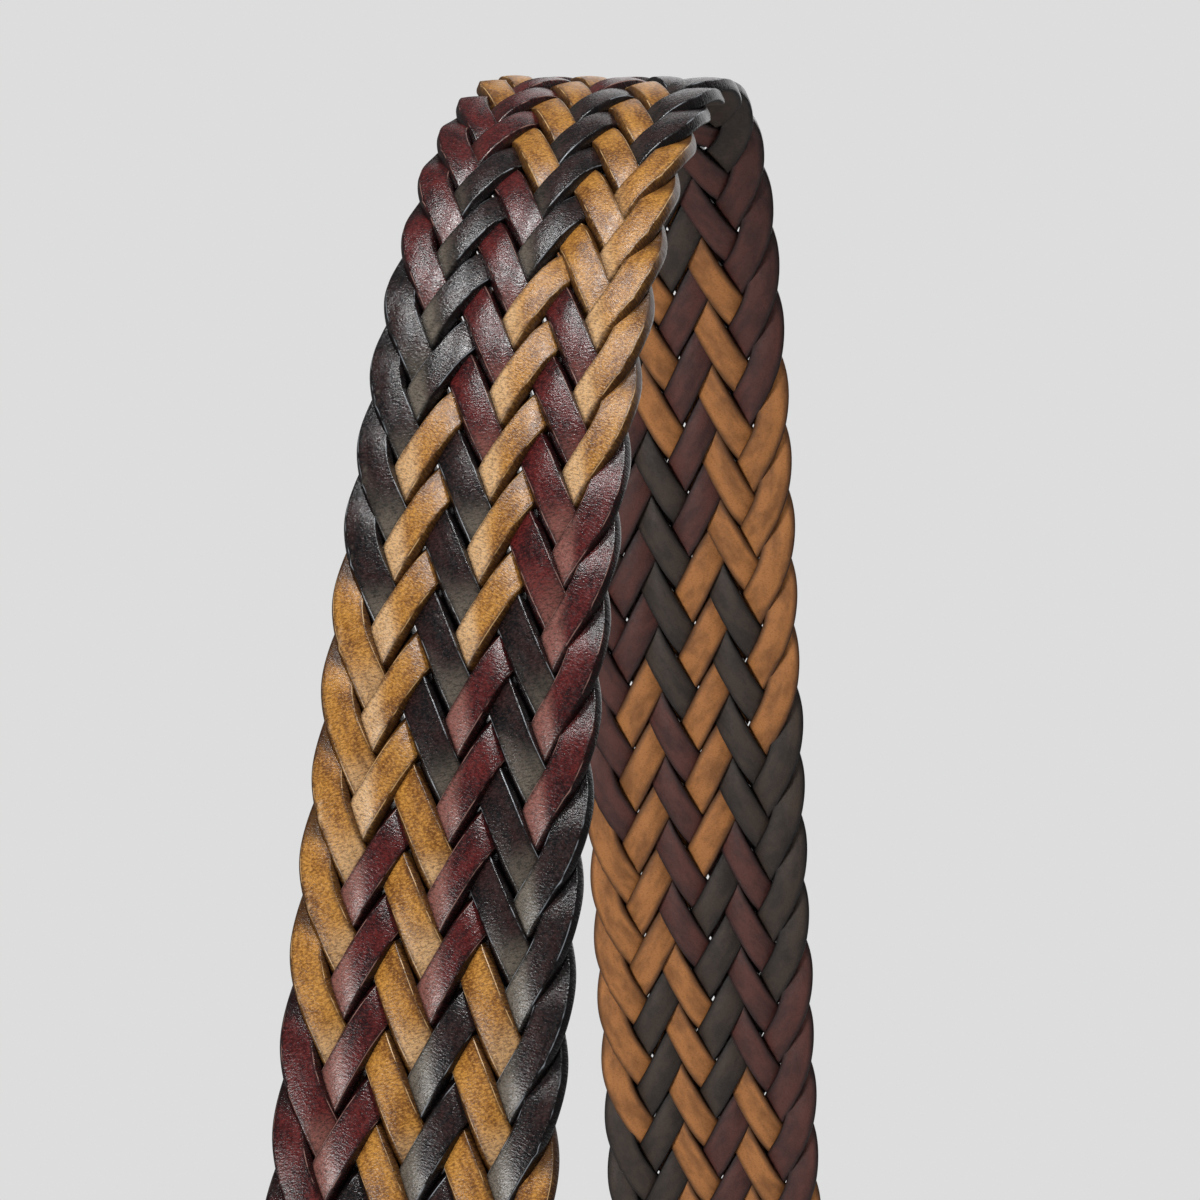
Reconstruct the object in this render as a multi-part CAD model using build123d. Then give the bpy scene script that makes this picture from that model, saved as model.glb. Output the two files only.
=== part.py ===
"""Braided leather belt, unbuckled and hung over a peg at its middle.

A thirteen-strand flat braid bends over the peg and hangs down on both sides. The leg towards
-Y ends in a leather tab that is folded round the heel bar of a metal buckle, and the leg
towards +Y ends in a pointed leather tip. Units are millimetres, +Z is up, +X runs across the
belt, and the origin is the point on the belt's inner face that rests on the peg.
"""

import os
from math import atan2, cos, pi, radians, sin, tanh

from build123d import *

# ---- Strap path: heading of the centreline below the horizontal, as it leaves the peg ----
LEG_SLOPE = radians(72.6)  # slope that both legs reach below the peg
FRONT_BEND = 75.0  # length over which the front leg takes up that slope
BACK_BEND = 38.0  # the same for the back leg, which bends more sharply
HANG_START = 190.0  # distance from the peg where a leg starts to turn plumb
HANG_END = 380.0  # distance from the peg where a leg hangs plumb
PATH_STEP = 1.0  # step of the path's numerical integration

# ---- Braid ----
STRAND_COUNT = 13
PITCH = 11.155  # distance along the belt from one strand's edge turn to the next one's
BRAID_HALF_WIDTH = 16.05  # half the zigzag's width, measured to the sharp corners
TURN_RADIUS = 7.5  # centreline radius of a strand where it turns at the edge
FIRST_TURN = 3.085  # first strand's right-hand turn, in pitches past the peg
STRAND_WIDTH = 3.5
STRAND_THICKNESS = 1.3
LAYER_OFFSET = 0.85  # centre of an upper or lower strand above or below the belt's mid-plane
STRAND_COLOURS = ["tan"] * 5 + ["burgundy"] * 4 + ["black"] * 4
CURVED_SPAN = 395.0  # sections are closer together within this distance of the peg

# ---- Lengths along the belt, from the peg ----
HEEL_BAR_AT = 505.0
BUCKLE_TAB_LENGTH = 72.0
TIP_TAB_LENGTH = 64.0
TIP_AT = 510.0
BRAID_IN_TAB = 26.0  # braid held inside each tab
END_SLACK = 0.5  # between the braid's end and the leatherboard inside a tab

# ---- Tabs ----
TAB_WIDTH = 36.0
TAB_LEATHER = 1.7
TAB_GAP = 4.2  # between the two leather layers
FOLD_WIDTH = 32.0  # width of the tab where it passes round the heel bar
FOLD_SHOULDER = 9.0  # length of the narrowed part, from the heel bar's axis
PRONG_SLOT_WIDTH = 5.6
PRONG_SLOT_LENGTH = 17.0
SLOT_MARGIN = 1.0  # between the prong slot and the leatherboard
FILLER_CLEARANCE = 0.05
FILLER_INSET = 0.5  # from the leather's edges
TIP_GAP = 1.2  # filler thickness left at the point
TIP_POINT = 24.0  # length of the pointed end
FLANK_HEIGHT = 0.58  # place on each arched flank, as a share of the point's length
FLANK_REACH = 0.78  # half width there, as a share of the tab's

# ---- Stitching ----
STITCH_LENGTH = 2.7
STITCH_PITCH = 3.5
STITCH_WIDTH = 0.8
STITCH_HEIGHT = 0.35
STITCH_MARGIN = 2.6  # from the leather's edge
STITCH_CORNER = 2.0  # gap between two rows at a corner

# ---- Buckle ----
BAR_RADIUS = 2.0
BAR_CLEARANCE = 0.1  # radial, to the leather and the prong
PRESS_CLEARANCE = 0.01
FRAME_WIDTH = 51.0
FRAME_RAIL = 6.2
FRAME_THICKNESS = 4.2
FRAME_LENGTH = 37.0  # from the heel bar's axis to the outside of the far bar
FRAME_LUG = 4.6  # from the heel bar's axis to the lugs' ends
FRAME_FAR_BAR = 6.4
FRAME_CORNER = 8.0
FRAME_EDGE = 1.4
PRONG_WIDTH = 4.6
PRONG_TIP_WIDTH = 3.4
PRONG_THICKNESS = 2.4
PRONG_EYE_RADIUS = 3.9
PRONG_NOTCH_DEPTH = 0.7
PRONG_REST_CLEARANCE = 0.06
PRONG_OVERHANG = 1.2  # prong's end past the far bar's outer face
NOTCH_CLEARANCE = 0.5  # on each side of the prong's end

# ---- Keepers ----
KEEPER_LEATHER = 1.6
KEEPER_HEIGHT = 10.0
KEEPER_STRAP_ROOM = 5.0  # room for the belt's free end in front of the tab
KEEPER_CORNER = 2.4
FIXED_KEEPER_AT = 27.0  # keeper's middle, measured up the tab from the heel bar
SLIDING_KEEPER_AT = 45.0
KEEPER_STITCH_GAP = 0.6  # between the fixed keeper and the rows of stitches
FIXED_KEEPER_SIDE_GAP = 0.1
FIXED_KEEPER_BACK_GAP = 0.1 + STITCH_HEIGHT
SLIDING_KEEPER_GAP = 0.4
STAPLE_SPAN = 6.0
STAPLE_WIRE = 0.8
STAPLE_HOLE_CLEARANCE = 0.05
STAPLE_LIFT = 0.02  # between the staple's crown and the keeper

# ---- Worked out from the above ----
BELT_HALF_THICKNESS = LAYER_OFFSET + STRAND_THICKNESS / 2
HALF_PERIOD = STRAND_COUNT / 2 * PITCH
STRAND_ANGLE = atan2(2 * BRAID_HALF_WIDTH, HALF_PERIOD)
CROSSING_SPACING = HALF_PERIOD / cos(STRAND_ANGLE) / STRAND_COUNT
OBLIQUE_HALF = STRAND_WIDTH / 2 / sin(2 * STRAND_ANGLE)
FREE_GAP = CROSSING_SPACING - 2 * OBLIQUE_HALF
TAB_HALF_THICKNESS = TAB_GAP / 2 + TAB_LEATHER
TIP_BEND = -TIP_TAB_LENGTH + BRAID_IN_TAB + 2.0  # where the tip's layers start to close
BEYOND = 40.0  # size of cutting solids that reach past everything


# ---- Strap path ----


def heading(along):
    """Angle of the belt below the horizontal at a signed distance from the peg."""
    bend = FRONT_BEND if along >= 0 else BACK_BEND
    slope = LEG_SLOPE * tanh(along / bend)
    share = min(max((abs(along) - HANG_START) / (HANG_END - HANG_START), 0.0), 1.0)
    share = share * share * (3 - 2 * share)
    plumb = pi / 2 if along >= 0 else -pi / 2
    return slope + (plumb - slope) * share


def trace_leg(direction, length):
    """(y, z) of the centreline at every PATH_STEP from the peg down one leg."""
    y, z = 0.0, BELT_HALF_THICKNESS
    points = [(y, z)]
    for index in range(int(length / PATH_STEP) + 1):
        middle = heading(direction * (index + 0.5) * PATH_STEP)
        y -= direction * cos(middle) * PATH_STEP
        z -= direction * sin(middle) * PATH_STEP
        points.append((y, z))
    return points


FRONT_LEG = trace_leg(1, HEEL_BAR_AT)
BACK_LEG = trace_leg(-1, TIP_AT)


def on_strap(along, across, out):
    """Point of the belt: along it from the peg, across it, and out from its mid-plane."""
    leg = FRONT_LEG if along >= 0 else BACK_LEG
    steps = abs(along) / PATH_STEP
    index = min(int(steps), len(leg) - 2)
    share = steps - index
    y = leg[index][0] + (leg[index + 1][0] - leg[index][0]) * share
    z = leg[index][1] + (leg[index + 1][1] - leg[index][1]) * share
    angle = heading(along)
    return (across, y - out * sin(angle), z + out * cos(angle))


# ---- Strands ----


def strand_section(along, across, direction, half, level):
    """Four corners of a strand: its width lies along direction, which points to +X."""
    corners = []
    for side, top in ((1, 1), (-1, 1), (-1, -1), (1, -1)):
        out = level * LAYER_OFFSET + top * STRAND_THICKNESS / 2
        at = (along + side * half * direction[0], across + side * half * direction[1])
        corners.append((at[0], at[1], out))
    return corners


def leg_sections(turn_at, side):
    """Sections of a straight run from one edge turn to the next. The other runs' direction
    is the direction of each section, so that the strand steps down within the gaps."""
    direction = (side * cos(STRAND_ANGLE), sin(STRAND_ANGLE))
    steps = []
    for pair in range(6):
        level = 1 if pair % 2 == 0 else -1
        middle = (2 * pair + 1.5) * CROSSING_SPACING
        if pair > 0:
            steps.append((middle - CROSSING_SPACING + FREE_GAP / 2, level, True))
        steps.append((middle, level, False))
        if pair < 5:
            steps.append((middle + CROSSING_SPACING - FREE_GAP / 2, level, True))
    sections = []
    for run, level, needed in steps:
        along = turn_at + run * cos(STRAND_ANGLE)
        if needed or abs(along) < CURVED_SPAN or abs(along) > HEEL_BAR_AT - BUCKLE_TAB_LENGTH:
            across = side * (BRAID_HALF_WIDTH - run * sin(STRAND_ANGLE))
            sections.append(strand_section(along, across, direction, OBLIQUE_HALF, level))
    return sections


def turn_sections(turn_at, side):
    """Sections round an edge turn, where the strand comes up from below and goes back on top."""
    sections = []
    centre = BRAID_HALF_WIDTH - TURN_RADIUS / cos(STRAND_ANGLE)
    for share in (-1.0, -0.5, 0.0, 0.5, 1.0):
        turned = share * STRAND_ANGLE
        fan = share * (pi / 2 - STRAND_ANGLE)
        direction = (side * sin(fan), cos(fan))
        half = STRAND_WIDTH / 2 / cos(fan - turned)
        along = turn_at + TURN_RADIUS * sin(turned)
        across = side * (centre + TURN_RADIUS * cos(turned))
        sections.append(strand_section(along, across, direction, half, share))
    return sections


def make_strand(number):
    """One strand from end to end. Its ends are cut inside the two tabs."""
    front_end = HEEL_BAR_AT - BUCKLE_TAB_LENGTH + BRAID_IN_TAB
    back_end = -(TIP_AT - TIP_TAB_LENGTH + BRAID_IN_TAB)
    sections = []
    first = -int(TIP_AT / HALF_PERIOD) - 3
    for turn in range(first, -first):
        turn_at = (number + FIRST_TURN) * PITCH + turn * HALF_PERIOD
        side = 1 if turn % 2 == 0 else -1
        sections += turn_sections(turn_at, side)
        sections += leg_sections(turn_at, side)
    wires = []
    for corners in sections:
        if back_end < min(c[0] for c in corners) and max(c[0] for c in corners) < front_end:
            wires.append(Wire.make_polygon([on_strap(*c) for c in corners], close=True))
    return Solid.make_loft(wires, ruled=True)


# ---- Ends of the belt. Local axes: x across, y out from the face, z down towards the end ----


def buckle_place():
    """Local axes at the heel bar, on the leg towards -Y."""
    return Location(on_strap(HEEL_BAR_AT, 0, 0), (180, 0, 0))


def tip_place():
    """Local axes at the belt's tip, on the leg towards +Y."""
    return Location(on_strap(-TIP_AT, 0, 0), (0, 180, 0))


def side_profile(points, width):
    """Solid of constant profile across the belt. The points are (z, y)."""
    wire = Wire.make_polygon([(-width / 2, y, z) for z, y in points], close=True)
    return Solid.extrude(Face(wire), Vector(width, 0, 0))


def front_prism(points):
    """Solid with a front view given by (x, z) points, through everything."""
    wire = Wire.make_polygon([(x, -BEYOND / 2, z) for x, z in points], close=True)
    return Solid.extrude(Face(wire), Vector(0, BEYOND, 0))


def block(x, y, z):
    """Box between two coordinates on each axis."""
    box = Box(x[1] - x[0], y[1] - y[0], z[1] - z[0])
    return Pos((x[0] + x[1]) / 2, (y[0] + y[1]) / 2, (z[0] + z[1]) / 2) * box


def across_cylinder(radius, length):
    """Cylinder on the local x axis."""
    return Rot(0, 90, 0) * Cylinder(radius, length)


def stitch(at, heading_angle, normal_side, lean=0.0):
    """One stitch lying flat on a face. The heading turns it within the face from z to x."""
    flat = SlotOverall(STITCH_LENGTH, STITCH_WIDTH)
    bar = extrude(flat, STITCH_HEIGHT)
    run = Vector(sin(heading_angle), 0, cos(heading_angle))
    normal = Vector(0, normal_side * cos(lean), sin(lean))
    run = (run - normal * run.dot(normal)).normalized()
    return Plane(origin=at, x_dir=run, z_dir=normal).location * bar


def row_of_stitches(start, end, face, normal_side, lean=0.0):
    """Stitches along a line from start to end, given as (x, z), on a face at y = face(z)."""
    length = ((end[0] - start[0]) ** 2 + (end[1] - start[1]) ** 2) ** 0.5
    count = int(length / STITCH_PITCH)
    angle = atan2(end[0] - start[0], end[1] - start[1])
    stitches = []
    for index in range(count):
        share = (index + 0.5) / count
        x = start[0] + (end[0] - start[0]) * share
        z = start[1] + (end[1] - start[1]) * share
        stitches.append(stitch((x, face(z), z), angle, normal_side, lean))
    return stitches


# ---- Buckle tab ----


def tab_outline():
    """Front view of the folded tab, as a prism through its whole thickness."""
    half, fold = TAB_WIDTH / 2, FOLD_WIDTH / 2
    shoulder = FOLD_SHOULDER + (half - fold)
    low, high = -BUCKLE_TAB_LENGTH, 2 * TAB_HALF_THICKNESS
    points = [(-half, low), (half, low), (half, -shoulder), (fold, -FOLD_SHOULDER)]
    points += [(fold, high), (-fold, high), (-fold, -FOLD_SHOULDER), (-half, -shoulder)]
    return front_prism(points)


def make_buckle_tab():
    """One leather strip folded round the heel bar, with a slot for the prong."""
    outer = TAB_HALF_THICKNESS
    inner = TAB_GAP / 2
    low = -BUCKLE_TAB_LENGTH
    skin = block((-TAB_WIDTH, TAB_WIDTH), (-outer, outer), (low, 0))
    skin += across_cylinder(outer, 2 * TAB_WIDTH)
    skin -= block((-TAB_WIDTH, TAB_WIDTH), (-inner, inner), (low, 0))
    skin -= across_cylinder(inner, 2 * TAB_WIDTH)
    skin = skin & tab_outline()
    half = PRONG_SLOT_WIDTH / 2
    slot = block((-half, half), (-outer - 1, outer + 1), (-PRONG_SLOT_LENGTH + half, outer + 1))
    round_end = Pos(0, 0, -PRONG_SLOT_LENGTH + half) * Rot(90, 0, 0) * Cylinder(half, 4 * outer)
    return skin - slot - round_end


def make_buckle_tab_filler():
    """Leatherboard that fills the tab between the prong slot and the braid's end."""
    low = -(BUCKLE_TAB_LENGTH - BRAID_IN_TAB - END_SLACK)
    high = -(PRONG_SLOT_LENGTH + SLOT_MARGIN)
    half = TAB_WIDTH / 2 - FILLER_INSET
    thick = TAB_GAP / 2 - FILLER_CLEARANCE
    return block((-half, half), (-thick, thick), (low, high))


def make_buckle_tab_stitching():
    """Rows along both edges, broken at the fixed keeper, and across the mouth, on both faces."""
    edge = TAB_WIDTH / 2 - STITCH_MARGIN
    low = -BUCKLE_TAB_LENGTH + STITCH_MARGIN
    high = -FOLD_SHOULDER - STITCH_CORNER
    reach = KEEPER_HEIGHT / 2 + KEEPER_STITCH_GAP
    keeper = (-FIXED_KEEPER_AT - reach, -FIXED_KEEPER_AT + reach)
    stitches = []
    for side in (1, -1):

        def face(_, side=side):
            return side * TAB_HALF_THICKNESS

        for x in (edge, -edge):
            stitches += row_of_stitches((x, low), (x, keeper[0]), face, side)
            stitches += row_of_stitches((x, keeper[1]), (x, high), face, side)
        mouth = edge - STITCH_CORNER
        stitches += row_of_stitches((-mouth, low), (mouth, low), face, side)
    return Compound(stitches)


# ---- Buckle ----


def make_buckle_frame():
    """Cast frame: two rails, a far bar with a notch for the prong, and lugs for the heel bar."""
    half = FRAME_WIDTH / 2
    thick = FRAME_THICKNESS / 2
    body = block((-half, half), (-thick, thick), (-FRAME_LUG, FRAME_LENGTH))
    body = fillet(body.edges().filter_by(Axis.Y).group_by(Axis.Z)[-1], FRAME_CORNER)
    body = fillet(body.edges().filter_by(Axis.Y).group_by(Axis.Z)[0], FRAME_RAIL / 2 - 0.2)
    inside = half - FRAME_RAIL
    depth = FRAME_LENGTH - FRAME_FAR_BAR
    window = block((-inside, inside), (-BEYOND, BEYOND), (-FRAME_LUG - FRAME_CORNER, depth))
    window = fillet(window.edges().filter_by(Axis.Y).group_by(Axis.Z)[-1], FRAME_CORNER / 2)
    body = body - window
    rims = body.edges().filter_by(lambda e: abs(abs(e.center().Y) - thick) < 1e-6)
    body = fillet(rims, FRAME_EDGE)
    body -= across_cylinder(BAR_RADIUS + PRESS_CLEARANCE, FRAME_WIDTH + 2)
    notch = PRONG_TIP_WIDTH / 2 + NOTCH_CLEARANCE
    floor = thick - PRONG_NOTCH_DEPTH
    return body - block((-notch, notch), (floor, BEYOND), (depth - 1, BEYOND))


def make_heel_bar():
    """Steel pin pressed through the lugs."""
    return across_cylinder(BAR_RADIUS, FRAME_WIDTH - 1.0)


def make_prong():
    """Tongue with an eye round the heel bar. Its end lies in the far bar's notch."""
    rest = FRAME_THICKNESS / 2 - PRONG_NOTCH_DEPTH + PRONG_REST_CLEARANCE
    top = PRONG_EYE_RADIUS
    end = FRAME_LENGTH + PRONG_OVERHANG
    profile = [(0, top), (FRAME_LENGTH - FRAME_FAR_BAR, rest + PRONG_THICKNESS)]
    profile += [(end - 1.0, rest + PRONG_THICKNESS - 0.4), (end, rest + 0.6)]
    profile += [(end - 0.8, rest), (FRAME_LENGTH - FRAME_FAR_BAR - 2, rest)]
    profile += [(BAR_RADIUS + 2.5, top - PRONG_THICKNESS), (0, BAR_RADIUS + BAR_CLEARANCE)]
    tongue = side_profile(profile, PRONG_WIDTH)
    half, tip = PRONG_WIDTH / 2, PRONG_TIP_WIDTH / 2
    outline = [(half, -FRAME_LUG), (half, 2 * FRAME_LUG), (tip, end - 2.0), (tip * 0.5, end + 0.1)]
    outline += [(-x, z) for x, z in reversed(outline)]
    tongue = tongue & front_prism(outline)
    eye = across_cylinder(PRONG_EYE_RADIUS, PRONG_WIDTH)
    return (tongue + eye) - across_cylinder(BAR_RADIUS + BAR_CLEARANCE, FRAME_WIDTH)


# ---- Keepers ----


def make_keeper(at, side_gap, back_gap):
    """Leather loop round the tab, with room in front of it for the belt's free end. The wall
    behind the tab has two holes for a staple's legs."""
    half = TAB_WIDTH / 2 + side_gap
    back = -TAB_HALF_THICKNESS - back_gap
    front = TAB_HALF_THICKNESS + KEEPER_STRAP_ROOM
    wall = KEEPER_LEATHER
    low, high = -at - KEEPER_HEIGHT / 2, -at + KEEPER_HEIGHT / 2
    loop = block((-half - wall, half + wall), (back - wall, front + wall), (low, high))
    loop = fillet(loop.edges().filter_by(Axis.Z), KEEPER_CORNER)
    inside = block((-half, half), (back, front), (low - 1, high + 1))
    inside = fillet(inside.edges().filter_by(Axis.Z), KEEPER_CORNER - wall + 0.1)
    loop = loop - inside
    for x in (-STAPLE_SPAN / 2, STAPLE_SPAN / 2):
        hole = Cylinder(STAPLE_WIRE / 2 + STAPLE_HOLE_CLEARANCE, 3 * wall)
        loop -= Pos(x, back, -at) * Rot(90, 0, 0) * hole
    return loop


def make_staple(at, back_gap):
    """Wire staple that closes a keeper: a crown on its outer face and two legs through it."""
    radius = STAPLE_WIRE / 2
    crown_at = -TAB_HALF_THICKNESS - back_gap - KEEPER_LEATHER - radius - STAPLE_LIFT
    crown = Pos(0, crown_at, -at) * across_cylinder(radius, STAPLE_SPAN)
    leg_length = KEEPER_LEATHER + radius
    for x in (-STAPLE_SPAN / 2, STAPLE_SPAN / 2):
        leg = Rot(90, 0, 0) * Cylinder(radius, leg_length)
        crown += Pos(x, crown_at + leg_length / 2, -at) * leg
        crown += Pos(x, crown_at, -at) * Sphere(radius)
    return crown


# ---- Tip tab. Local z is zero at the point and negative up the belt ----


def tip_half_gap(z):
    """Half the distance between the tip's two layers."""
    share = max((z - TIP_BEND) / -TIP_BEND, 0.0)
    return TAB_GAP / 2 + (TIP_GAP / 2 - TAB_GAP / 2) * share


def tip_outline(inset=0.0):
    """Front view of the tip, as a prism: straight sides and a point with arched flanks."""
    half = TAB_WIDTH / 2 - inset
    low, shoulder, point = -TIP_TAB_LENGTH, -TIP_POINT, -inset
    y = -BEYOND / 2
    flank_x, flank_z = half * FLANK_REACH, shoulder + (point - shoulder) * FLANK_HEIGHT
    lines = Polyline((-half, y, shoulder), (-half, y, low), (half, y, low), (half, y, shoulder))
    right = ThreePointArc((half, y, shoulder), (flank_x, y, flank_z), (0, y, point))
    left = ThreePointArc((0, y, point), (-flank_x, y, flank_z), (-half, y, shoulder))
    outline = Wire([*lines.edges(), *right.edges(), *left.edges()])
    return Solid.extrude(Face(outline), Vector(0, BEYOND, 0))


def make_tip_layer(side):
    """Front (side 1) or back (side -1) leather of the tip."""
    inner = [(z, side * tip_half_gap(z)) for z in (-TIP_TAB_LENGTH, TIP_BEND, 0.0)]
    outer = [(z, y + side * TAB_LEATHER) for z, y in reversed(inner)]
    return side_profile(inner + outer, TAB_WIDTH + 2) & tip_outline()


def make_tip_filler():
    """Leatherboard between the layers, from the braid's end to the point."""
    low = -TIP_TAB_LENGTH + BRAID_IN_TAB + END_SLACK
    upper = [(z, tip_half_gap(z) - FILLER_CLEARANCE) for z in (low, TIP_BEND, 0.0)]
    lower = [(z, -y) for z, y in reversed(upper)]
    return side_profile(upper + lower, TAB_WIDTH + 2) & tip_outline(FILLER_INSET)


def make_tip_stitching():
    """A row along each edge, over the point and across the mouth, on both faces."""
    edge = TAB_WIDTH / 2 - STITCH_MARGIN
    low = -TIP_TAB_LENGTH + STITCH_MARGIN
    point = -STITCH_MARGIN - STITCH_CORNER
    lean = atan2(TAB_GAP / 2 - TIP_GAP / 2, -TIP_BEND)
    stitches = []
    for side in (1, -1):

        def face(z, side=side):
            return side * (tip_half_gap(z) + TAB_LEATHER)

        for x in (edge, -edge):
            stitches += row_of_stitches((x, low), (x, TIP_BEND - STITCH_CORNER), face, side)
            start = (x, TIP_BEND + STITCH_CORNER)
            stitches += row_of_stitches(start, (x, -TIP_POINT), face, side, lean)
            knee = (x * 0.72, -TIP_POINT * 0.44)
            stitches += row_of_stitches((x, -TIP_POINT + 0.5), knee, face, side, lean)
            stitches += row_of_stitches(knee, (x * 0.08, point), face, side, lean)
        mouth = edge - STITCH_CORNER
        stitches += row_of_stitches((-mouth, low), (mouth, low), face, side)
    return Compound(stitches)


# ---- Whole belt ----


def build_nodes():
    """Every node of the belt by name, in place."""
    nodes = {}
    counts = {}
    for number, colour in enumerate(STRAND_COLOURS):
        counts[colour] = counts.get(colour, 0) + 1
        nodes[f"{colour}_strand_{counts[colour]}"] = make_strand(number)
    at_buckle = {
        "buckle_tab": make_buckle_tab(),
        "buckle_tab_filler": make_buckle_tab_filler(),
        "buckle_tab_stitching": make_buckle_tab_stitching(),
        "buckle_frame": make_buckle_frame(),
        "heel_bar": make_heel_bar(),
        "prong": make_prong(),
        "fixed_keeper": make_keeper(FIXED_KEEPER_AT, FIXED_KEEPER_SIDE_GAP, FIXED_KEEPER_BACK_GAP),
        "fixed_keeper_staple": make_staple(FIXED_KEEPER_AT, FIXED_KEEPER_BACK_GAP),
        "sliding_keeper": make_keeper(SLIDING_KEEPER_AT, SLIDING_KEEPER_GAP, SLIDING_KEEPER_GAP),
        "sliding_keeper_staple": make_staple(SLIDING_KEEPER_AT, SLIDING_KEEPER_GAP),
    }
    at_tip = {
        "tip_tab_front": make_tip_layer(1),
        "tip_tab_back": make_tip_layer(-1),
        "tip_tab_filler": make_tip_filler(),
        "tip_tab_stitching": make_tip_stitching(),
    }
    for name, shape in at_buckle.items():
        nodes[name] = buckle_place() * shape
    for name, shape in at_tip.items():
        nodes[name] = tip_place() * shape
    return nodes


os.makedirs("parts", exist_ok=True)
for node_name, node_shape in build_nodes().items():
    export_step(node_shape, f"parts/{node_name}.step")
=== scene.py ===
"""Looks of the braided leather belt: braided strands, stitched leather ends, metal buckle."""

from math import cos, pi, radians, sin, tanh

import bmesh
import bpy
import numpy as np
from mathutils import Matrix, Vector


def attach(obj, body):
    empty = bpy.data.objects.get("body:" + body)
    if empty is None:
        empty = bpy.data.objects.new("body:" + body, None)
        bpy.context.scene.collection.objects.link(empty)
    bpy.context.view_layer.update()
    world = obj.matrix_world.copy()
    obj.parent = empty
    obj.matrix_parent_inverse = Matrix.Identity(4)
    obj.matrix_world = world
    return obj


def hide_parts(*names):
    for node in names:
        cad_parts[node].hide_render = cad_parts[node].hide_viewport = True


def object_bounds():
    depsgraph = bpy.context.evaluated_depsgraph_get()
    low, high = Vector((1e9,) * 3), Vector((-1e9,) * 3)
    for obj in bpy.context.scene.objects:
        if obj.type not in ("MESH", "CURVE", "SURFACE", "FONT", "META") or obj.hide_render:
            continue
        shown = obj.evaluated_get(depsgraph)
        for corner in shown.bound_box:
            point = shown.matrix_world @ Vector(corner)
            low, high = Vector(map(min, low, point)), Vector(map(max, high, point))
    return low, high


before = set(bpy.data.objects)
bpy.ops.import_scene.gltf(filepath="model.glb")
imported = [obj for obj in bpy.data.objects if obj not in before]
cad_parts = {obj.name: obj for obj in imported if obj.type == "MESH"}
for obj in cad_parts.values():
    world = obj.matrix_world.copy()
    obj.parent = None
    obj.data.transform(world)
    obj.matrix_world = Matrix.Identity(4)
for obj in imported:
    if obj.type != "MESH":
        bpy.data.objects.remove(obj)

cad_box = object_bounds()
MM = 0.001  # all sizes below are in millimetres

# ---- Strap path, as the CAD model has it: places along the belt count from the peg ----
LEG_SLOPE = radians(72.6)  # of the legs, below the horizontal, where they leave the arch
FRONT_BEND = 75.0  # length that sets how gently the arch bends into the front leg
BACK_BEND = 38.0
HANG_START = 190.0  # the legs turn plumb between these two places
HANG_END = 380.0
PATH_MARGIN = 10.0
HALF_THICKNESS = 1.5  # height of the strap's mid-plane over the peg
HEEL_BAR_AT = 505.0
TIP_AT = 510.0
BUCKLE_TAB_LENGTH = 72.0
TIP_TAB_LENGTH = 64.0
BRAID_IN_TAB = 22.0
BRAID_START = -(TIP_AT - TIP_TAB_LENGTH + BRAID_IN_TAB)
BRAID_END = HEEL_BAR_AT - BUCKLE_TAB_LENGTH + BRAID_IN_TAB

# ---- Braid ----
STRANDS = ["tan"] * 5 + ["burgundy"] * 4 + ["black"] * 4
PITCH = 11.155  # along the belt, from one strand's edge turn to the next one's
FIRST_TURN = 3.085  # first strand's right-hand turn, in pitches past the peg
SHARP_HALF_WIDTH = 17.75  # half the zigzag's width, to the corners of its straight runs
TURN_LENGTH = 8.6  # length along the belt, either side of an edge turn, that is curved
STRAND_WIDTH = 4.8
STRAND_THICKNESS = 1.8
BEVEL_WIDTH = 0.5  # bevelled edges of the grain side
BEVEL_DEPTH = 1.1
FLESH_BEVEL = 0.3
WEAR = 0.1  # rounding of the worn corners
CROWN = 0.10  # rise of the grain side's middle over its edges
LAYER_OFFSET = 1.1  # height of an upper strand's centre over the belt's mid-plane
FLOAT_FLATNESS = 1.3  # 1 is a sine wave, and more is flatter on top
FIRST_FLOAT = 1.5  # crossings from an edge turn to the middle of the first float
EDGE_BLEND = (0.3, 1.7)  # crossings from an edge turn over which the floats' ends turn slanting
SQUEEZE = 0.82  # share of that height left inside the leather ends
SQUEEZE_RUN = 5.0
STATION_STEP = 0.7
NEARBY = 0.15  # step to the side that finds the surface's slope
STRAND_APART = 1000.0  # added to "run" from strand to strand, so that no two look alike
UNEVEN_WAVES = 4
UNEVEN = {  # how much a strand varies along its length, and the range of wavelengths
    "width": (0.02, (25, 90)),
    "shift": (0.10, (18, 60)),
    "lift": (0.05, (12, 50)),
    "roll": (0.03, (15, 60)),
}
LEAN = {"down": 0.9, "across": 0.2, "edge": 0.045}  # weights of the surface's slopes in "lean"
LEAN_AT_PEG = {"loss": 0.85, "from": 110.0, "to": 30.0}  # the painted sheen fades over the arch
SEED = 7

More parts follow.
